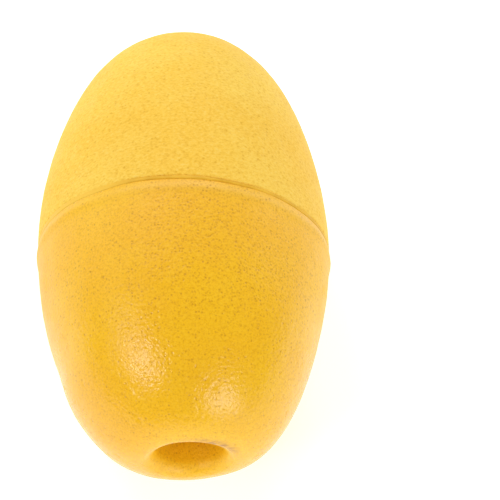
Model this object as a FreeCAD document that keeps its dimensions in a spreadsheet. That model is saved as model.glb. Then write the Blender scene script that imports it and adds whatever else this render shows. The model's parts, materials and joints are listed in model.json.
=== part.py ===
"""Oval foam float for a fishing net or head rope, strung on the rope through its bore.

Frame: millimetres, +Z up, the float lying on its side. The bore runs along Y, and the
origin is the middle of the float, on the bore's axis. The front of the float faces -Y.
The float is two moulded foam halves with a thin film of adhesive between them. The joint
lies a little in front of the widest place, so the front half is the shorter one.
"""
import FreeCAD, Part
import math
import os
import Sketcher

SHEET = "dimensions"

# Name, value in millimetres, and what it is.
DIMENSIONS = [
    ("belly_radius", 40, "outer radius at the widest place, the middle of the float"),
    ("half_length", 63.75, "from the middle of the float to either end"),
    ("side_reach", 26.5, "pull of the outline along the side, from the belly"),
    ("end_reach", 17, "pull of the outline across the end, from the crown of the mouth"),
    ("bore_radius", 8.5, "the rope hole, the same all the way through"),
    ("mouth_rounding", 2.5, "rounding where the bore comes out of each end"),
    ("joint_offset", 4.8, "how far the joint lies in front of the middle"),
    ("joint_rounding", 0.6, "rounding of each half's outer edge at the joint"),
    ("bond_thickness", 0.8, "the adhesive film between the halves"),
    ("bond_recess", 0.4, "how far the film's rim lies below the belly"),
    ("cut_margin", 10, "how far a cut runs past the foam that it takes away"),
]


def add_dimensions(doc):
    """Put the driving dimensions in a spreadsheet, each in a cell with its name."""
    sheet = doc.addObject("Spreadsheet::Sheet", SHEET)
    for row, (name, value, meaning) in enumerate(DIMENSIONS, start=1):
        sheet.set(f"A{row}", meaning)
        sheet.set(f"B{row}", str(value))
        sheet.setAlias(f"B{row}", name)
    doc.recompute()
    return sheet


def cell(name):
    """The expression that reads one named dimension."""
    return f"{SHEET}.{name}"


def origin_plane(body, role):
    """The body's own origin plane with this role."""
    return next(feature for feature in body.Origin.OriginFeatures if feature.Role == role)


def add_sketch(body, name, role):
    """A new sketch of the body, lying on one of its origin planes."""
    sketch = body.newObject("Sketcher::SketchObject", name)
    sketch.AttachmentSupport = [(origin_plane(body, role), "")]
    sketch.MapMode = "FlatFace"
    return sketch


def bind(sketch, name, constraint, expression):
    """Add a constraint under a name, and drive its value from the spreadsheet."""
    index = sketch.addConstraint(constraint)
    sketch.renameConstraint(index, name)
    sketch.setExpression(f"Constraints.{name}", expression)


def place_point(sketch, point, name, radius, height):
    """Hold a point at a radius from the bore's axis and a height along it."""
    drawn = sketch.getPoint(*point)
    bind(sketch, f"{name}_radius", Sketcher.Constraint("DistanceX", -1, 1, *point, drawn.x), radius)
    bind(sketch, f"{name}_height", Sketcher.Constraint("DistanceY", -1, 1, *point, drawn.y), height)


def join_ends(sketch, edges):
    """Close a loop of edges, the end of each on the start of the next."""
    for edge, following in zip(edges, edges[1:] + edges[:1]):
        sketch.addConstraint(Sketcher.Constraint("Coincident", edge, 2, following, 1))


def sketch_section(body, sheet):
    """Section of the float from its middle to its rear end: X from the bore's axis, Y along it.

    The outline is one curve with four guide points. It leaves the belly along the side and
    comes in flat to the crown of the end, where the rounding of the mouth takes over. The
    two reaches set how full the curve is in between.
    """
    sketch = add_sketch(body, "section", "XY_Plane")
    bore, belly = sheet.get("bore_radius"), sheet.get("belly_radius")
    length, rounding = sheet.get("half_length"), sheet.get("mouth_rounding")
    bore_at_middle = FreeCAD.Vector(bore, 0)
    bore_at_mouth = FreeCAD.Vector(bore, length - rounding)
    mouth_centre = FreeCAD.Vector(bore + rounding, length - rounding)
    mouth_circle = Part.Circle(mouth_centre, FreeCAD.Vector(0, 0, 1), rounding)
    guides = [FreeCAD.Vector(belly, 0), FreeCAD.Vector(belly, length / 2)]
    guides += [FreeCAD.Vector(belly, length), FreeCAD.Vector(bore + rounding, length)]
    curve = Part.BSplineCurve()
    curve.buildFromPolesMultsKnots(guides, [4, 4], [0, 1], False, 3)
    middle = sketch.addGeometry(Part.LineSegment(bore_at_middle, guides[0]))
    mouth = sketch.addGeometry(Part.ArcOfCircle(mouth_circle, math.pi / 2, math.pi))
    bore_wall = sketch.addGeometry(Part.LineSegment(bore_at_mouth, bore_at_middle))
    outline = sketch.addGeometry(curve)
    sketch.exposeInternalGeometry(outline)
    belly_point, side_guide, end_guide, crown = ((outline + number, 3) for number in (1, 2, 3, 4))

    crown_radius = f"{cell('bore_radius')} + {cell('mouth_rounding')}"
    end_guide_radius = f"{crown_radius} + {cell('end_reach')}"
    mouth_height = f"{cell('half_length')} - {cell('mouth_rounding')}"
    place_point(sketch, (middle, 1), "bore_at_middle", cell("bore_radius"), "0")
    place_point(sketch, belly_point, "belly", cell("belly_radius"), "0")
    place_point(sketch, side_guide, "side_guide", cell("belly_radius"), cell("side_reach"))
    place_point(sketch, end_guide, "end_guide", end_guide_radius, cell("half_length"))
    place_point(sketch, crown, "crown", crown_radius, cell("half_length"))
    place_point(sketch, (bore_wall, 1), "bore_at_mouth", cell("bore_radius"), mouth_height)
    join_ends(sketch, [middle, outline, mouth, bore_wall])
    bind(sketch, "rounding", Sketcher.Constraint("Radius", mouth, rounding), cell("mouth_rounding"))
    return sketch


def sketch_waste(body, sheet, end):
    """Section of the foam that isn't this half's: from its joint face to past the other end."""
    sketch = add_sketch(body, "waste", "XY_Plane")
    margin = sheet.get("cut_margin")
    toward_other_end = 1 if end == "front" else -1
    far = toward_other_end * (sheet.get("half_length") + margin)
    outside = sheet.get("belly_radius") + margin
    corners = [(0, 0), (outside, 0), (outside, far), (0, far)]
    corners = [FreeCAD.Vector(*corner) for corner in corners]
    sides = [sketch.addGeometry(Part.LineSegment(start, finish))
             for start, finish in zip(corners, corners[1:] + corners[:1])]
    join_ends(sketch, sides)
    joint_face = f"-{cell('joint_offset')} - {toward_other_end} * {cell('bond_thickness')} / 2"
    far_height = f"{toward_other_end} * ({cell('half_length')} + {cell('cut_margin')})"
    outside_radius = f"{cell('belly_radius')} + {cell('cut_margin')}"
    place_point(sketch, (sides[0], 1), "joint_at_axis", "0", joint_face)
    place_point(sketch, (sides[2], 1), "far_corner", outside_radius, far_height)
    for direction, side in zip(("Horizontal", "Vertical", "Horizontal", "Vertical"), sides):
        sketch.addConstraint(Sketcher.Constraint(direction, side))
    return sketch


def add_half(doc, sheet, end):
    """One moulded half: the whole float turned about the bore's axis, less the other half."""
    body = doc.addObject("PartDesign::Body", f"{end}_half")
    body.Label = f"{end}_half"
    section = sketch_section(body, sheet)
    rear_side = body.newObject("PartDesign::Revolution", "rear_side")
    rear_side.Profile = section
    rear_side.ReferenceAxis = (section, ["V_Axis"])
    rear_side.Angle = 360
    both_sides = body.newObject("PartDesign::Mirrored", "both_sides")
    both_sides.Originals = [rear_side]
    both_sides.MirrorPlane = (origin_plane(body, "XZ_Plane"), [""])
    body.Tip = both_sides
    doc.recompute()
    waste = sketch_waste(body, sheet, end)
    cut = body.newObject("PartDesign::Groove", "cut_at_joint")
    cut.Profile = waste
    cut.ReferenceAxis = (waste, ["V_Axis"])
    cut.Angle = 360
    doc.recompute()
    if cut.Shape.Volume > both_sides.Shape.Volume - rear_side.Shape.Volume / 2:
        raise RuntimeError(f"the cut at the joint took too little from {body.Label}")
    joint_edge = body.newObject("PartDesign::Fillet", "joint_edge")
    joint_edge.Base = (cut, [outer_rim_at_joint(cut.Shape)])
    joint_edge.setExpression("Radius", cell("joint_rounding"))
    return body


def outer_rim_at_joint(half):
    """The name of the outer edge of the joint face, which is the only flat face of a half."""
    joint_face = next(face for face in half.Faces if isinstance(face.Surface, Part.Plane))
    rim = joint_face.OuterWire.Edges[0]
    return next(f"Edge{number}" for number, edge in enumerate(half.Edges, start=1) if edge.isSame(rim))


def add_bond_film(doc, sheet):
    """The adhesive between the halves: a thin washer, a little smaller than the belly."""
    body = doc.addObject("PartDesign::Body", "bond_film")
    body.Label = "bond_film"
    sketch = add_sketch(body, "washer", "XZ_Plane")
    bore, belly = sheet.get("bore_radius"), sheet.get("belly_radius")
    rims = [("bore_rim", bore, cell("bore_radius")),
            ("outer_rim", belly, f"{cell('belly_radius')} - {cell('bond_recess')}")]
    for name, radius, expression in rims:
        rim = sketch.addGeometry(Part.Circle(FreeCAD.Vector(), FreeCAD.Vector(0, 0, 1), radius))
        sketch.addConstraint(Sketcher.Constraint("Coincident", rim, 3, -1, 1))
        bind(sketch, name, Sketcher.Constraint("Radius", rim, radius), expression)
    film = body.newObject("PartDesign::Pad", "film")
    film.Profile = sketch
    film.SideType = "Symmetric"
    film.setExpression("Length", cell("bond_thickness"))
    body.setExpression("Placement.Base.y", f"-{cell('joint_offset')}")
    return body


def check(doc, bodies):
    """Stop if any object failed, or if any body isn't one sound solid."""
    for item in doc.Objects:
        if "Invalid" in item.State or "Error" in item.State:
            raise RuntimeError(f"{item.Name} is {item.State}")
    for body in bodies:
        shape = body.Shape
        if shape.isNull() or not shape.isValid() or len(shape.Solids) != 1:
            raise RuntimeError(f"{body.Label} isn't one valid solid")
        box = shape.optimalBoundingBox()
        print(f"{body.Label}: {shape.Volume / 1000:.2f} cm3, Y {box.YMin:.2f} to {box.YMax:.2f} mm")


def build():
    """Make the document, check it and write one STEP file for each piece."""
    doc = FreeCAD.newDocument("foam_float")
    sheet = add_dimensions(doc)
    bodies = [add_half(doc, sheet, "front"), add_half(doc, sheet, "rear"), add_bond_film(doc, sheet)]
    doc.recompute()
    check(doc, bodies)
    os.makedirs("parts", exist_ok=True)
    for body in bodies:
        body.Shape.exportStep(f"parts/{body.Label}.step")


build()
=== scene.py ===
"""Looks for a bobber float: two moulded foam halves bonded face to face round a straight rope bore.

Metres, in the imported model's frame. The bore runs along Y, the front mouth is at -Y and Z is up.
"""

import json
import math

import bpy
import numpy as np
from mathutils import Euler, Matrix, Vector, noise
from mathutils.kdtree import KDTree


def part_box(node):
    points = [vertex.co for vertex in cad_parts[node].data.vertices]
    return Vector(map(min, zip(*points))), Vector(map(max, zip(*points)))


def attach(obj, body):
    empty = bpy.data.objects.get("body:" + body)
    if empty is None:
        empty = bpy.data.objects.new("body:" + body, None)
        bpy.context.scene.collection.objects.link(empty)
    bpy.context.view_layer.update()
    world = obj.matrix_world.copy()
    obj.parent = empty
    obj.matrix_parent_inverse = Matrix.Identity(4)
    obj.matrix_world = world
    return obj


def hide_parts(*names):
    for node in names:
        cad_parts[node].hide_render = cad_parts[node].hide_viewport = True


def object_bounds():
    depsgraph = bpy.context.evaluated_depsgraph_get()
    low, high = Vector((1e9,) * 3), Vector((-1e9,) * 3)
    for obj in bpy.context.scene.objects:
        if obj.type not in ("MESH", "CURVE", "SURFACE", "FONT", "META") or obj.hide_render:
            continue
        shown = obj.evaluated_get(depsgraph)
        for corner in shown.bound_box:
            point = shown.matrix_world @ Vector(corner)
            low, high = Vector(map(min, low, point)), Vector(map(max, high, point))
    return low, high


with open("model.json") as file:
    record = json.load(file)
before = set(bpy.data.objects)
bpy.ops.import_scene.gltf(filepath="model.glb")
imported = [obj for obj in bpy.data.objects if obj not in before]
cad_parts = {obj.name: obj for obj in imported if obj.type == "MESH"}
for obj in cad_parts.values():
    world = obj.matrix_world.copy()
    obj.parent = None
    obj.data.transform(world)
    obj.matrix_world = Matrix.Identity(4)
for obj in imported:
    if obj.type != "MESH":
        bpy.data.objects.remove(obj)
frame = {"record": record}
cad_low, cad_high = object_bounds()

MM = 0.001

# The plain shape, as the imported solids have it.
bore = frame["record"]["mounts"][0]["dims"]
HALF_LENGTH = cad_high.y
BELLY_RADIUS = cad_high.x
BORE_RADIUS = bore["r_mm"] * MM
MOUTH_ROUNDING = HALF_LENGTH - bore["length_mm"] * MM / 2
FILM_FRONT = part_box("bond_film")[0].y
FILM_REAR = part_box("bond_film")[1].y
JOINT_MIDDLE = (FILM_FRONT + FILM_REAR) / 2
JOINT_ROUNDING = 0.6 * MM

# The outline's curve: how far it heads along the float from the belly, and outward from the mouth.
SIDE_REACH = 26.5 * MM
END_REACH = 17 * MM

# Mesh density.
COLUMNS = 464
SKIN_STEP = 0.54 * MM
CURVE_STEPS = 1200
RIM_ROWS = 5
MOUTH_ROWS = 14
BORE_ROWS = 26
BORE_CROWDING = 2.4
FACE_ROWS = 10
TURN = np.linspace(0, 2 * math.pi, COLUMNS, endpoint=False)

# The joint leans, and it wanders in waves: height, waves in one belly radius, and seed.
JOINT_TILT = 0.031
JOINT_WAVES = ((0.22 * MM, 1.7, 11), (0.154 * MM, 5.0, 3))
JOINT_FADE = 26 * MM

# The bead of glue in the joint's groove, which is rubbed flush on one side.
GROOVE_SHALLOW = 0.04 * MM
GROOVE_DEEP = 0.30 * MM
BEAD_OVERLAP = 0.03 * MM
BEAD_CROWN_DEPTH = 0.3
BEAD_FLANK_DEPTH = 0.45
BEAD_FLANK_PLACE = 0.68
BEAD_OPEN = 0.6
BEAD_OPEN_RIGHT = 0.25
BEAD_UNEVEN = 0.8
BEAD_WAVE = 0.35
BEAD_LEAST_OPEN = 0.2
BEAD_WORN = 0.95
BEAD_WORN_TURN = math.radians(-50)
BEAD_WORN_SPREAD = math.radians(27)

# Slow unevenness, and the sides where each half is fuller.
LUMP_HEIGHT = 0.20 * MM
LUMP_LENGTH = 28 * MM
REAR_FULLNESS = {"towards": (1, 0, 0), "amount": 0.7 * MM, "start": 12 * MM, "span": 40 * MM}
FRONT_FULLNESS = {"towards": (-0.92, 0, -0.38), "amount": 1.6 * MM, "start": 36 * MM, "span": 14 * MM}

# The front half's swelling along the joint, and the painted light along it where the shoulder faces up.
SHOULDER_HEIGHT = 0.38 * MM
SHOULDER_CREST = 1.7 * MM
SHOULDER_WIDTH = 1.2 * MM
SHOULDER_UNEVEN = 0.5
SHOULDER_WAVE = 13 * MM
SHOULDER_LIT_CREST = 1.6 * MM
SHOULDER_LIT_WIDTH = 1.5 * MM

# The mouths. Only the front one has drifted and gone oval.
MOUTH_DRIFT = 0.86 * MM
MOUTH_DRIFT_START = 0.45
MOUTH_OVAL = 0.02
MOUTH_OVAL_REACH = 12 * MM
FLARE = 0.25 * MM
FLARE_DEPTH = 10 * MM
LIP_WIDTH = 3.3 * MM
LIP_DEPTH = 3.6 * MM
# The painted highlight along the top of each mouth's lip: its radius, its width, and how far into the mouth
# it reaches.
LIP_LINE_RADIUS = 10.5 * MM
LIP_LINE_WIDTH = 0.60 * MM
LIP_LINE_DEPTH = 3 * MM

# Brown rub marks beside the front mouth.
SCUFF_RADIUS = 11.9 * MM
SCUFF_WIDTH = 1.2 * MM
SCUFF_TURN = math.radians(38)
SCUFF_SPREAD = math.radians(36)
SCUFF_GRAIN = (2.2 * MM, 4 * MM, 0.9 * MM)
SCUFF_SOLID = 0.7
SCUFF_UNEVEN = 1.2
SCUFF_FAINTEST = 0.42

# The skin's fine waves: height, wavelength in all directions or in each, and seed.
REAR_WAVES = (
    (0.040 * MM, (14 * MM, 1.5 * MM, 14 * MM), 8),
    (0.050 * MM, 6 * MM, 2),
    (0.020 * MM, 1.6 * MM, 4),
)
FRONT_WAVES = ((0.050 * MM, 7 * MM, 1), (0.020 * MM, 1.8 * MM, 6))
WAVES_FADE = 3 * MM
BORE_FADE = 1.6

# Pits: how many, smallest and largest radius, greatest depth, and seed.
REAR_PITS = (260, 0.6 * MM, 1.1 * MM, 0.28 * MM, 21)
FRONT_PITS = (200, 0.6 * MM, 1.0 * MM, 0.22 * MM, 12)
PIT_MARGIN = 2 * MM
PIT_SHALLOWEST = 0.35

# The share of pore cells that are open, and where the front half's pores crowd together.
REAR_PORES = 0.20
REAR_PORES_UNEVEN = 0.20
FRONT_PORES = 0.17
FRONT_PORES_UNEVEN = 0.225
FRONT_PORES_LESS_LEFT = 0.12
FRONT_PORES_CROWD = 0.85
FEWEST_PORES = 0.03
PORE_WAVE = 16 * MM
CROWD_MIDDLE = np.array([8 * MM, -24 * MM, 34 * MM])
CROWD_SIZE = np.array([24 * MM, 18 * MM, 30 * MM])


# ---------------------------------------------------------------- outline


def skin_curve():
    """Radius and reach of the outer skin, from mouth to mouth through the belly."""
    t = np.linspace(0, 1, CURVE_STEPS)
    guides = (
        (BELLY_RADIUS, 0),
        (BELLY_RADIUS, SIDE_REACH),
        (BORE_RADIUS + MOUTH_ROUNDING + END_REACH, HALF_LENGTH),
        (BORE_RADIUS + MOUTH_ROUNDING, HALF_LENGTH),
    )
    shares = ((1 - t) ** 3, 3 * t * (1 - t) ** 2, 3 * t * t * (1 - t), t**3)
    radius = sum(share * guide[0] for share, guide in zip(shares, guides))
    reach = sum(share * guide[1] for share, guide in zip(shares, guides))
    return np.append(radius[:0:-1], radius), np.append(-reach[:0:-1], reach)


def evenly_spaced(radius, reach, step):
    """The same line with its points a step apart, and how far along it each one is."""
    along = np.append(0, np.cumsum(np.hypot(np.diff(radius), np.diff(reach))))
    wanted = np.linspace(0, along[-1], round(along[-1] / step))
    return np.interp(wanted, along, radius), np.interp(wanted, along, reach), wanted


def half_section(start):
    """One half's closed outline: radius, reach, how much relief it takes, and distance from its rim.

    Reach is the distance towards the half's own mouth, and start is the reach of its joint face. The distance
    from the rim is only true on the skin: the mouth, the bore and the joint face have HALF_LENGTH.
    """
    radius, reach = skin_curve()
    crest = BORE_RADIUS + LIP_WIDTH
    skin = (reach > start + JOINT_ROUNDING) & (radius > crest)
    skin_r, skin_y, skin_along = evenly_spaced(radius[skin], reach[skin], SKIN_STEP)
    rim_bend = np.linspace(0, math.pi / 2, RIM_ROWS, endpoint=False)
    rim_r = skin_r[0] - JOINT_ROUNDING * (1 - np.sin(rim_bend))
    rim_y = start + JOINT_ROUNDING * (1 - np.cos(rim_bend))
    mouth_bend = np.linspace(0, math.pi / 2, MOUTH_ROWS)[1:]
    mouth_r = skin_r[-1] - (skin_r[-1] - BORE_RADIUS - FLARE) * np.sin(mouth_bend)
    mouth_y = skin_y[-1] - LIP_DEPTH * (1 - np.cos(mouth_bend))
    deep = np.linspace(0, 1, BORE_ROWS)[1:] ** BORE_CROWDING
    wall_y = mouth_y[-1] + (start - mouth_y[-1]) * deep
    wall_r = BORE_RADIUS + FLARE * np.clip(1 - (mouth_y[-1] - wall_y) / FLARE_DEPTH, 0, 1) ** 2
    face_r = np.linspace(BORE_RADIUS, rim_r[0], FACE_ROWS)[1:-1]
    face_y = np.full(len(face_r), start)
    radius = np.concatenate((rim_r, skin_r, mouth_r, wall_r, face_r))
    reach = np.concatenate((rim_y, skin_y, mouth_y, wall_y, face_y))
    rim_relief = np.linspace(0, 1, RIM_ROWS, endpoint=False)
    full_relief = np.ones(len(skin_r) + len(mouth_r))
    wall_relief = np.clip(1 - BORE_FADE * deep, 0, 1)
    relief = np.concatenate((rim_relief, full_relief, wall_relief, np.zeros(len(face_r))))
    from_rim = np.full(len(radius), HALF_LENGTH)
    from_rim[:RIM_ROWS] = 0
    from_rim[RIM_ROWS : RIM_ROWS + len(skin_r)] = skin_along
    return radius, reach, relief, from_rim


def section_normals(radius, reach):
    """Outward directions along a closed outline."""
    along_r = np.roll(radius, -1) - np.roll(radius, 1)
    along_y = np.roll(reach, -1) - np.roll(reach, 1)
    length = np.hypot(along_r, along_y)
    return along_y / length, -along_r / length


# ---------------------------------------------------------------- measures of a point


def smooth_step(share):
    """0 up to 0, 1 from 1 on, and an even S between."""
    share = np.clip(share, 0, 1)
    return share * share * (3 - 2 * share)


def bell(value, middle, width):
    """1 at the middle, falling to 0 on both sides."""
    return np.exp(-(((value - middle) / width) ** 2))


def from_axis(points):
    """Distance from the bore's axis."""
    return np.hypot(points[:, 0], points[:, 2])


def turn_of(points):
    """Turn round the bore from the top, with the right side at a quarter turn."""
    return np.arctan2(points[:, 0], points[:, 2])


def waves(points, length, seed):
    """Smooth noise from -1 to 1, with one wavelength for all directions or one for each."""
    scaled = points / length + seed
    return np.array([noise.noise(Vector(p)) for p in scaled])


def layered(points, layers):
    """Waves of several sizes added up."""
    return sum(height * waves(points, length, seed) for height, length, seed in layers)


# ---------------------------------------------------------------- relief


def joint_shift(points):
    """How far each point goes along the float with the wandering joint."""
    ring = points * [1, 0, 1] / BELLY_RADIUS
    wander = -math.tan(JOINT_TILT) * points[:, 0]
    for height, per_radius, seed in JOINT_WAVES:
        wander += height * waves(ring * per_radius, 1, seed)
    return wander * smooth_step(1 - np.abs(points[:, 1] - JOINT_MIDDLE) / JOINT_FADE)


def mouth_drift(points):
    """The front mouth sits a little to the right of the axis."""
    share = (-points[:, 1] / HALF_LENGTH - MOUTH_DRIFT_START) / (1 - MOUTH_DRIFT_START)
    return MOUTH_DRIFT * smooth_step(share)


def mouth_oval(points):
    """The front mouth is a little wider than it is high."""
    near = np.clip(1 - (HALF_LENGTH + points[:, 1]) / MOUTH_OVAL_REACH, 0, 1)
    near *= np.clip(2 - from_axis(points) / MOUTH_OVAL_REACH, 0, 1)
    return points * [1, 0, -1] * MOUTH_OVAL * near[:, None]


def lumps(points):
    """The slow unevenness that both halves and the glue share, so that they meet at the joint."""
    return LUMP_HEIGHT * waves(points, LUMP_LENGTH, 5)


def fullness(points, towards, amount, start, span):
    """Extra roundness on one side, growing over the span that begins at start from the middle."""
    side = np.clip(points @ np.array(towards) / BELLY_RADIUS, 0, 1)
    return amount * side * smooth_step((np.abs(points[:, 1]) - start) / span)


def scattered(points, allowed, count, smallest, largest, deepest, seed):
    """Places, radii and depths for pits, the same each run."""
    draw = np.random.default_rng(seed)
    places = points[draw.choice(np.flatnonzero(allowed), count)]
    size = draw.random(count) ** 2
    radii = smallest + (largest - smallest) * size
    depths = deepest * (PIT_SHALLOWEST + (1 - PIT_SHALLOWEST) * draw.random(count)) * radii / largest
    return places, radii, depths


def dents(points, centres, radii, depths):
    """The depth of round-bottomed pits at each point."""
    tree = KDTree(len(points))
    for index, point in enumerate(points):
        tree.insert(point, index)
    tree.balance()
    depth = np.zeros(len(points))
    for centre, radius, deep in zip(centres, radii, depths):
        for _, index, away in tree.find_range(centre, radius):
            depth[index] = max(depth[index], deep * (1 - (away / radius) ** 2) ** 2)
    return depth


def textured(points, from_rim, shape, fine_waves, pits):
    """A half's skin relief: its shape, fine waves that fade out at the rim, and pits."""
    skin = (from_rim > PIT_MARGIN) & (from_rim < HALF_LENGTH)
    fine = layered(points, fine_waves) * smooth_step(from_rim / WAVES_FADE)
    return shape + fine - dents(points, *scattered(points, skin, *pits))


def rear_height(points, from_rim):
    """Matte skin with fine ripples round the float and a few pits, a little fuller on the right."""
    shape = lumps(points) + fullness(points, **REAR_FULLNESS)
    return textured(points, from_rim, shape, REAR_WAVES, REAR_PITS)


def front_height(points, from_rim):
    """Smoother skin with a faint grain, pits, and a full shoulder along the joint."""
    shoulder = SHOULDER_HEIGHT * bell(from_rim, SHOULDER_CREST, SHOULDER_WIDTH)
    shoulder *= 1 + SHOULDER_UNEVEN * waves(points, SHOULDER_WAVE, 9)
    shape = lumps(points) + shoulder + fullness(points, **FRONT_FULLNESS)
    return textured(points, from_rim, shape, FRONT_WAVES, FRONT_PITS)


# ---------------------------------------------------------------- wear and pores


def rubbed(turn):
    """1 where the joint's left side is rubbed flush, fading to 0 round from it."""
    away = np.angle(np.exp(1j * (turn - BEAD_WORN_TURN)))
    return bell(away, 0, BEAD_WORN_SPREAD)


def bead_openness():
    """How clear the bead's edges are at each turn: 1 for a clear groove and 0 where it is rubbed flush."""
    ring = np.stack((np.sin(TURN), np.zeros(COLUMNS), np.cos(TURN)), -1)
    uneven = BEAD_OPEN + BEAD_OPEN_RIGHT * np.sin(TURN) + BEAD_UNEVEN * waves(ring, BEAD_WAVE, 3)
    return np.clip(uneven, BEAD_LEAST_OPEN, 1) * (1 - BEAD_WORN * rubbed(TURN))


def shoulder_painted_light(points, from_rim, side):
    """1 on the front half's shoulder below the joint, painted light where it faces up, and 0 on the rear half
    and where the joint is rubbed flush.
    """
    lit_band = bell(from_rim, SHOULDER_LIT_CREST, SHOULDER_LIT_WIDTH)
    return (side < 0) * lit_band * (1 - rubbed(turn_of(points)))


def pore_share(points, side):
    """The share of pore cells that are open: most of them below the joint on the front half's upper right."""
    uneven = waves(points, PORE_WAVE, 17)
    if side > 0:
        return np.clip(REAR_PORES + REAR_PORES_UNEVEN * uneven, FEWEST_PORES, 1)
    crowded = bell(np.linalg.norm((points - CROWD_MIDDLE) / CROWD_SIZE, axis=1), 0, 1)
    left = np.clip(-points[:, 0] / BELLY_RADIUS, 0, 1)
    share = FRONT_PORES - FRONT_PORES_LESS_LEFT * left
    share += FRONT_PORES_CROWD * crowded + FRONT_PORES_UNEVEN * uneven
    return np.clip(share, FEWEST_PORES, 1)


def lip_painted_highlight(points):
    """1 on the line just inside the top of each mouth's lip: a painted highlight where the rounded lip
    catches the light.
    """
    across = from_axis(points)
    at_end = np.clip(1 - (HALF_LENGTH - np.abs(points[:, 1])) / LIP_LINE_DEPTH, 0, 1)
    upper = np.clip(points[:, 2] / across, 0, 1)
    return at_end * upper * bell(across, LIP_LINE_RADIUS, LIP_LINE_WIDTH)


def scuff_marks(points):
    """Brown rub marks above and to the right of the front mouth."""
    band = bell(from_axis(points), SCUFF_RADIUS, SCUFF_WIDTH)
    window = bell(turn_of(points), SCUFF_TURN, SCUFF_SPREAD)
    streaks = np.clip(SCUFF_SOLID + SCUFF_UNEVEN * waves(points, SCUFF_GRAIN, 29), SCUFF_FAINTEST, 1)
    return band * window * streaks * (points[:, 1] < 0)


def inside(points):
    """1 in the bore, fading to 0 at the lip. The colour uses it to paint light into the bore, and the
    roughness to dull the bore.
    """
    return np.clip((BORE_RADIUS + LIP_WIDTH - from_axis(points)) / (LIP_WIDTH - FLARE), 0, 1)


# ---------------------------------------------------------------- meshes


def ring_mesh(name, points, rows, columns):
    """A closed mesh from a grid that wraps both ways."""
    index = np.arange(rows * columns).reshape(rows, columns)
    right = np.roll(index, -1, 1)
    faces = np.stack((index, right, np.roll(right, -1, 0), np.roll(index, -1, 0)), -1).reshape(-1, 4)
    mesh = bpy.data.meshes.new(name)
    mesh.from_pydata(points.tolist(), [], faces.tolist())
    mesh.shade_smooth()
    mesh.update()
    piece = bpy.data.objects.new(name, mesh)
    bpy.context.scene.collection.objects.link(piece)
    return piece


def store(piece, name, values):
    """Keeps one number for each point, for the material to read."""
    attribute = piece.data.attributes.new(name, "FLOAT", "POINT")
    attribute.data.foreach_set("value", values.astype(np.float32))


def spun(radius, reach, side):
    """Grid points of a section turned round Y, rows first. The turn runs so that faces look outward."""
    turn = TURN * side
    x = np.outer(radius, np.sin(turn))
    y = np.outer(reach * side, np.ones(COLUMNS))
    z = np.outer(radius, np.cos(turn))
    return np.stack((x, y, z), -1).reshape(-1, 3)


def build_half(name, side, start, height):
    """One foam half. height(points, from_rim) is its skin relief."""
    radius, reach, relief, from_rim = half_section(start)
    points = spun(radius, reach, side)
    normals = spun(*section_normals(radius, reach), side)
    from_rim = np.repeat(from_rim, COLUMNS)
    raised = height(points, from_rim) * np.repeat(relief, COLUMNS)
    shaped = points + normals * raised[:, None]
    shaped[:, 1] += joint_shift(points)
    shaped[:, 0] += mouth_drift(points)
    shaped += mouth_oval(points)
    piece = ring_mesh(name, shaped, len(radius), COLUMNS)
    store(piece, "shoulder", shoulder_painted_light(points, from_rim, side))
    store(piece, "pore_share", pore_share(points, side))
    store(piece, "lip", lip_painted_highlight(points))
    store(piece, "scuff", scuff_marks(points))
    store(piece, "inside", inside(points))
    return piece


def build_film():
    """The dried adhesive: a film between the halves, with a shallow bead in the groove between their rims."""
    openness = bead_openness()
    depth = GROOVE_SHALLOW + (GROOVE_DEEP - GROOVE_SHALLOW) * openness
    bend = np.arcsin(1 - depth / JOINT_ROUNDING)
    film_edge = np.full(COLUMNS, (FILM_REAR - FILM_FRONT) / 2)
    bead_edge = film_edge + JOINT_ROUNDING * (1 - np.cos(bend)) + BEAD_OVERLAP
    curve_radius, curve_reach = skin_curve()
    belly = np.interp(JOINT_MIDDLE, curve_reach, curve_radius)
    inner = np.full(COLUMNS, BORE_RADIUS)
    neck = np.full(COLUMNS, belly - JOINT_ROUNDING)
    flank = belly - BEAD_FLANK_DEPTH * depth
    crown = belly - BEAD_CROWN_DEPTH * depth
    radius = np.stack((inner, neck, belly - depth, flank, crown, flank, belly - depth, neck, inner))
    reach = np.stack((film_edge, film_edge, bead_edge, BEAD_FLANK_PLACE * bead_edge))
    reach = np.concatenate((-reach, np.zeros((1, COLUMNS)), reach[::-1])) + JOINT_MIDDLE
    points = np.stack((radius * np.sin(TURN), reach, radius * np.cos(TURN)), -1).reshape(-1, 3)
    outward = points * [1, 0, 1] / belly
    shaped = points + outward * lumps(points)[:, None]
    shaped[:, 1] += joint_shift(points)
    piece = ring_mesh("bond_line", shaped, len(radius), COLUMNS)
    store(piece, "openness", np.tile(openness, len(radius)))
    return piece


# ---------------------------------------------------------------- shader helpers


def fill_socket(tree, socket, value):
    """Links a socket to another node's output, or sets it."""
    if isinstance(value, bpy.types.NodeSocket):
        tree.links.new(value, socket)
    else:
        socket.default_value = value


def add_node(tree, kind, inputs=None, **settings):
    """A shader node with its settings, and its inputs set or linked."""
    node = tree.nodes.new(kind)
    for name, value in settings.items():
        setattr(node, name, value)
    for name, value in (inputs or {}).items():
        fill_socket(tree, node.inputs[name], value)
    return node


def new_material(name):
    """A material with an empty node tree."""
    material = bpy.data.materials.new(name)
    material.use_nodes = True
    material.node_tree.nodes.clear()
    return material, material.node_tree


def add_surface(tree, inputs):
    """The shader and its way out to the surface."""
    shader = add_node(tree, "ShaderNodeBsdfPrincipled", inputs)
    add_node(tree, "ShaderNodeOutputMaterial", {"Surface": shader.outputs["BSDF"]})


def position(tree):
    """Where a point is on the piece, in metres."""
    return add_node(tree, "ShaderNodeTexCoord").outputs["Object"]


def axis_part(tree, where, axis):
    """One coordinate of a point."""
    return add_node(tree, "ShaderNodeSeparateXYZ", {"Vector": where}).outputs[axis]


def stored(tree, name):
    """A number kept with the piece's points."""
    return add_node(tree, "ShaderNodeAttribute", attribute_name=name).outputs["Fac"]


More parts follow.
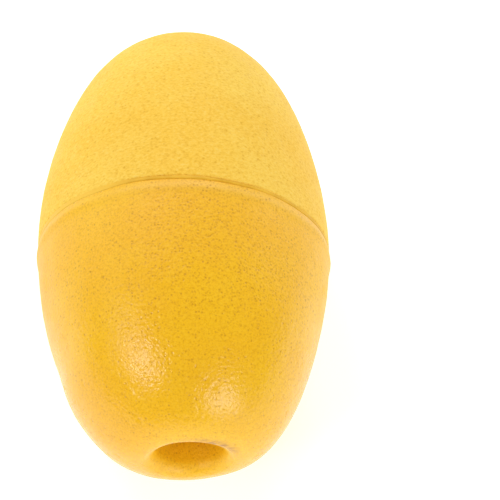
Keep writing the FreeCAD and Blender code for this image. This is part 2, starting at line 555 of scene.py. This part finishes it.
def ramp(tree, value, low, high, to_low=0.0, to_high=1.0):
    """value carried from low..high to to_low..to_high, and held there outside."""
    inputs = {"Value": value, "From Min": low, "From Max": high, "To Min": to_low, "To Max": to_high}
    return add_node(tree, "ShaderNodeMapRange", inputs).outputs["Result"]


def calculated(tree, operation, first, second):
    """The result of one operation on two numbers."""
    node = add_node(tree, "ShaderNodeMath", operation=operation)
    fill_socket(tree, node.inputs[0], first)
    fill_socket(tree, node.inputs[1], second)
    return node.outputs["Value"]


def times(tree, value, factor):
    """value multiplied by factor."""
    return calculated(tree, "MULTIPLY", value, factor)


def mixed(tree, share, first, second):
    """One colour turning into another."""
    node = add_node(tree, "ShaderNodeMix", data_type="RGBA")
    fill_socket(tree, node.inputs["Factor"], share)
    fill_socket(tree, node.inputs[6], first)
    fill_socket(tree, node.inputs[7], second)
    return node.outputs[2]


def grain(tree, where, per_metre, detail=2.0, roughness=0.5, stretch=(1, 1, 1)):
    """Soft noise from 0 to 1."""
    if stretch != (1, 1, 1):
        where = add_node(tree, "ShaderNodeMapping", {"Vector": where, "Scale": stretch}).outputs["Vector"]
    inputs = {"Vector": where, "Scale": per_metre, "Detail": detail, "Roughness": roughness}
    return add_node(tree, "ShaderNodeTexNoise", inputs).outputs["Fac"]


def pores(tree, where, per_metre, width, density):
    """Small round holes, 1 in their middles, in the share of cells that density gives."""
    cells = add_node(tree, "ShaderNodeTexVoronoi", {"Vector": where, "Scale": per_metre})
    hole = ramp(tree, cells.outputs["Distance"], 0.0, width, 1.0, 0.0)
    split = add_node(tree, "ShaderNodeSeparateColor", {"Color": cells.outputs["Color"]})
    chosen = calculated(tree, "LESS_THAN", split.outputs["Red"], density)
    strength = ramp(tree, split.outputs["Green"], 0.0, 1.0, FAINTEST_PORE, 1.0)
    return times(tree, times(tree, hole, chosen), strength)


# ---------------------------------------------------------------- materials

# Colours are linear. Pores are cells per metre and the hole's width as a share of its cell, and the fine ones
# also have the share of cells that are open. The pale colour is painted light, the sheen setting is the
# strength of a painted sheen on the right side, and the pore colour is painted shade in the pores and also
# darkens the grit.
FRONT_LOOK = {
    "deep": (0.93, 0.478, 0.001, 1),
    "light": (0.955, 0.532, 0.002, 1),
    "pore": (0.54, 0.232, 0.0, 1),
    "pale": (0.98, 0.65, 0.18, 1),
    "flake": (0.99, 0.62, 0.03, 1),
    "painted_sheen": 0.05,
    "gloss": 0.50,
    "roughness": (0.18, 0.28),
    "rough_rim": 0.24,
    "pores": (1250, 0.46),
    "fine_pores": (2000, 0.48, 0.5),
    "stretch": (1, 1, 1),
    "grit": 0.45,
    "flakes": 0.50,
    "relief": 0.13 * MM,
}
REAR_LOOK = {
    "deep": (0.96, 0.585, 0.063, 1),
    "light": (0.98, 0.645, 0.092, 1),
    "pore": (0.74, 0.37, 0.012, 1),
    "pale": (0.97, 0.70, 0.28, 1),
    "flake": (0.99, 0.74, 0.19, 1),
    "painted_sheen": 0.08,
    "gloss": 0.20,
    "roughness": (0.58, 0.76),
    "rough_rim": 0.0,
    "pores": (1000, 0.44),
    "fine_pores": (1800, 0.48, 0.5),
    "stretch": (0.6, 1, 0.6),
    "grit": 0.60,
    "flakes": 0.55,
    "relief": 0.20 * MM,
}
# The bore's colour, painted lighter for the light that reaches into it.
BORE_PAINTED_LIGHT_COLOUR = (0.99, 0.58, 0.004, 1)
SCUFF_COLOUR = (0.42, 0.175, 0.03, 1)
GLUE_DARK = (0.70, 0.36, 0.008, 1)
GLUE_LIGHT = (0.86, 0.49, 0.030, 1)
GLUE_RUBBED = (0.92, 0.55, 0.045, 1)
GLUE_ROUGHNESS = (0.45, 0.6)
GLUE_RELIEF = 0.1 * MM
PAPER_DARK = (0.93, 0.93, 0.93, 1)
PAPER_LIGHT = (0.95, 0.95, 0.95, 1)
PAPER_GLOW = 0.42

# Noise sizes, in waves per metre, and the parts of each noise's range that are used.
PATCHES_PER_METRE = 38
FINE_PER_METRE = 1900
PEEL_PER_METRE = 1250
GLOSS_PER_METRE = 220
SHEEN_PATCHES_PER_METRE = 55
GLUE_PER_METRE = 260
TOOTH_PER_METRE = 400
PATCHES_RANGE = (0.35, 0.65)
FLAKES_RANGE = (0.52, 0.78)
GRIT_RANGE = (0.50, 0.25)
MIDDLE_RANGE = (0.3, 0.7)
SHEEN_PATCHES_RANGE = (0.25, 0.6)
SHEEN_PATCH_STRENGTH = (0.5, 1.3)
SHEEN_START = 0.45 * BELLY_RADIUS
DULL_REACH = (-42 * MM, -20 * MM)

# How strongly each mark shows.
SHOULDER_LIGHT_SHARE = 0.24
BORE_LIGHT_SHARE = 0.9
PORE_SHADE_SHARE = 0.95
FINE_PORE_SHADE_SHARE = 0.30
FAINTEST_PORE = 0.5
SCUFF_SHARE = 0.95
FINE_HEIGHT = 0.3
PORE_DEPTH = 0.5
FINE_PORE_DEPTH = 0.15
INSIDE_ROUGHNESS = 0.3


def right_side_painted_sheen(tree, where, strength):
    """How much painted sheen the skin takes: none on the left side and most on the right, in patches."""
    side = ramp(tree, axis_part(tree, where, "X"), SHEEN_START, BELLY_RADIUS, 0.0, strength)
    patches = grain(tree, where, SHEEN_PATCHES_PER_METRE, 3.0)
    return times(tree, side, ramp(tree, patches, *SHEEN_PATCHES_RANGE, *SHEEN_PATCH_STRENGTH))


def foam_colour(tree, where, look, fine, large, small):
    """Mottled colour with painted light in the bore, along the shoulder and on the right side, a painted
    highlight on the lip, flakes, grit, painted shade in the pores, and rub marks.
    """
    patches = grain(tree, where, PATCHES_PER_METRE, 3.0)
    colour = mixed(tree, ramp(tree, patches, *PATCHES_RANGE), look["deep"], look["light"])
    # Painted light in the bore.
    colour = mixed(tree, times(tree, stored(tree, "inside"), BORE_LIGHT_SHARE), colour, BORE_PAINTED_LIGHT_COLOUR)
    # Painted light along the front half's shoulder below the joint.
    painted_light = times(tree, stored(tree, "shoulder"), SHOULDER_LIGHT_SHARE)
    # Painted highlight along the top of the mouths' lips.
    painted_light = calculated(tree, "ADD", painted_light, stored(tree, "lip"))
    # Painted sheen on the right side.
    painted_light = calculated(tree, "ADD", right_side_painted_sheen(tree, where, look["painted_sheen"]), painted_light)
    pale = add_node(tree, "ShaderNodeClamp", {"Value": painted_light}).outputs["Result"]
    colour = mixed(tree, pale, colour, look["pale"])
    colour = mixed(tree, ramp(tree, fine, *FLAKES_RANGE, 0.0, look["flakes"]), colour, look["flake"])
    colour = mixed(tree, ramp(tree, fine, *GRIT_RANGE, 0.0, look["grit"]), colour, look["pore"])
    # Painted shade in the large and fine pores.
    colour = mixed(tree, times(tree, large, PORE_SHADE_SHARE), colour, look["pore"])
    colour = mixed(tree, times(tree, small, FINE_PORE_SHADE_SHARE), colour, look["pore"])
    return mixed(tree, times(tree, stored(tree, "scuff"), SCUFF_SHARE), colour, SCUFF_COLOUR)


def foam_height(tree, where, fine, large, small):
    """Orange-peel grain with pores sunk into it."""
    height = calculated(tree, "ADD", times(tree, fine, FINE_HEIGHT), grain(tree, where, PEEL_PER_METRE, 1.0))
    height = calculated(tree, "SUBTRACT", height, times(tree, large, PORE_DEPTH))
    return calculated(tree, "SUBTRACT", height, times(tree, small, FINE_PORE_DEPTH))


def foam_roughness(tree, where, look):
    """Patchy gloss that is duller near the joint and in the bore."""
    patches = grain(tree, where, GLOSS_PER_METRE, 3.0)
    duller = ramp(tree, axis_part(tree, where, "Y"), *DULL_REACH, 0.0, look["rough_rim"])
    roughness = calculated(tree, "ADD", ramp(tree, patches, *MIDDLE_RANGE, *look["roughness"]), duller)
    return calculated(tree, "ADD", roughness, times(tree, stored(tree, "inside"), INSIDE_ROUGHNESS))


def foam(name, look):
    """Moulded foam skin."""
    material, tree = new_material(name)
    where = position(tree)
    fine = grain(tree, where, FINE_PER_METRE, 2.0, 0.6, look["stretch"])
    large = pores(tree, where, *look["pores"], stored(tree, "pore_share"))
    small = pores(tree, where, *look["fine_pores"])
    height = foam_height(tree, where, fine, large, small)
    bump = add_node(tree, "ShaderNodeBump", {"Height": height, "Distance": look["relief"], "Strength": 1.0})
    inputs = {
        "Base Color": foam_colour(tree, where, look, fine, large, small),
        "Roughness": foam_roughness(tree, where, look),
        "Normal": bump.outputs["Normal"],
        "Specular IOR Level": look["gloss"],
    }
    add_surface(tree, inputs)
    return material


def adhesive():
    """Dried amber glue that shows less where it is rubbed flush."""
    material, tree = new_material("adhesive")
    patches = grain(tree, position(tree), GLUE_PER_METRE, 3.0)
    colour = mixed(tree, ramp(tree, patches, *MIDDLE_RANGE), GLUE_DARK, GLUE_LIGHT)
    bump = add_node(tree, "ShaderNodeBump", {"Height": patches, "Distance": GLUE_RELIEF, "Strength": 0.8})
    inputs = {
        "Base Color": mixed(tree, stored(tree, "openness"), GLUE_RUBBED, colour),
        "Roughness": ramp(tree, patches, *MIDDLE_RANGE, *GLUE_ROUGHNESS),
        "Normal": bump.outputs["Normal"],
        "Specular IOR Level": 0.3,
    }
    add_surface(tree, inputs)
    return material


def studio_paper():
    """Plain white floor with a barely visible tooth."""
    material, tree = new_material("studio_paper")
    tooth = grain(tree, position(tree), TOOTH_PER_METRE, 2.0)
    inputs = {
        "Base Color": mixed(tree, tooth, PAPER_DARK, PAPER_LIGHT),
        "Roughness": 0.9,
        "Emission Color": (1, 1, 1, 1),
        "Emission Strength": PAPER_GLOW,
    }
    add_surface(tree, inputs)
    return material


# ---------------------------------------------------------------- studio

FLOOR_SIDE = 3.0
WORLD_LIGHT = 0.37

# The camera's height above the horizon, its distance, and how far it is turned off the float's middle.
ELEVATION = math.radians(57.84)
DISTANCE = 0.36
FOCAL_LENGTH = 93.3
PAN = math.radians(2.917)
TILT = math.radians(0.212)
ROLL = 0.0092
NEAREST_SEEN = 0.01

# Each lamp's compass direction and height above the horizon, in degrees, its side in metres and its watts.
LAMP_DISTANCE = 1.2
LAMPS = {
    "left_softbox": (-110, 35, 0.40, 1.2),
    "left_front_softbox": (-132, 38, 0.26, 2.3),
    "left_back_softbox": (-60, 20, 0.45, 1.6),
    "back_left_softbox": (-35, 50, 0.50, 3.6),
    "back_softbox": (15, 40, 0.50, 3.6),
    "back_right_softbox": (60, 20, 0.50, 2.1),
    "right_front_softbox": (149, 19, 0.56, 4.5),
}


def add_floor():
    """A wide plane under the float."""
    mesh = bpy.data.meshes.new("floor")
    far = FLOOR_SIDE / 2
    corners = [(-far, -far, cad_low.z), (far, -far, cad_low.z), (far, far, cad_low.z), (-far, far, cad_low.z)]
    mesh.from_pydata(corners, [], [(0, 1, 2, 3)])
    floor = bpy.data.objects.new("floor", mesh)
    floor.data.materials.append(studio_paper())
    bpy.context.scene.collection.objects.link(floor)


def add_lamp(name, compass, height, side, power):
    """A square soft lamp that faces the float."""
    turn = math.radians(compass)
    lift = math.radians(height)
    place = Vector((math.sin(turn) * math.cos(lift), math.cos(turn) * math.cos(lift), math.sin(lift)))
    light = bpy.data.lights.new(name, "AREA")
    light.size = side
    light.energy = power
    lamp = bpy.data.objects.new(name, light)
    lamp.location = LAMP_DISTANCE * place
    lamp.rotation_euler = (-place).to_track_quat("-Z", "Y").to_euler()
    bpy.context.scene.collection.objects.link(lamp)


def add_world():
    """Even white light from all round."""
    world = bpy.data.worlds.new("studio")
    world.use_nodes = True
    background = world.node_tree.nodes["Background"]
    background.inputs["Color"].default_value = (1, 1, 1, 1)
    background.inputs["Strength"].default_value = WORLD_LIGHT
    bpy.context.scene.world = world


def add_camera():
    """The view from in front and above, with the float to the left of the middle."""
    camera = bpy.data.objects.new("camera", bpy.data.cameras.new("camera"))
    back = Vector((0, -math.cos(ELEVATION), math.sin(ELEVATION)))
    camera.location = DISTANCE * back
    facing = (-back).to_track_quat("-Z", "Y").to_matrix()
    turned = Euler((-TILT, -PAN, -ROLL)).to_matrix()
    camera.rotation_euler = (facing @ turned).to_euler()
    camera.data.lens = FOCAL_LENGTH
    camera.data.clip_start = NEAREST_SEEN
    bpy.context.scene.collection.objects.link(camera)
    bpy.context.scene.camera = camera


# ---------------------------------------------------------------- assembly


def settle(piece, node, material):
    """Gives a piece its material and its place in the frame."""
    piece.data.materials.append(material)
    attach(piece, "root")
    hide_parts(node)


rear = build_half("rear_foam_half", 1, FILM_REAR, rear_height)
settle(rear, "rear_half", foam("rear_foam", REAR_LOOK))

front = build_half("front_foam_half", -1, -FILM_FRONT, front_height)
settle(front, "front_half", foam("front_foam", FRONT_LOOK))

film = build_film()
settle(film, "bond_film", adhesive())

add_floor()
add_world()
for lamp_name, setting in LAMPS.items():
    add_lamp(lamp_name, *setting)
add_camera()
bpy.context.scene.view_settings.view_transform = "Standard"
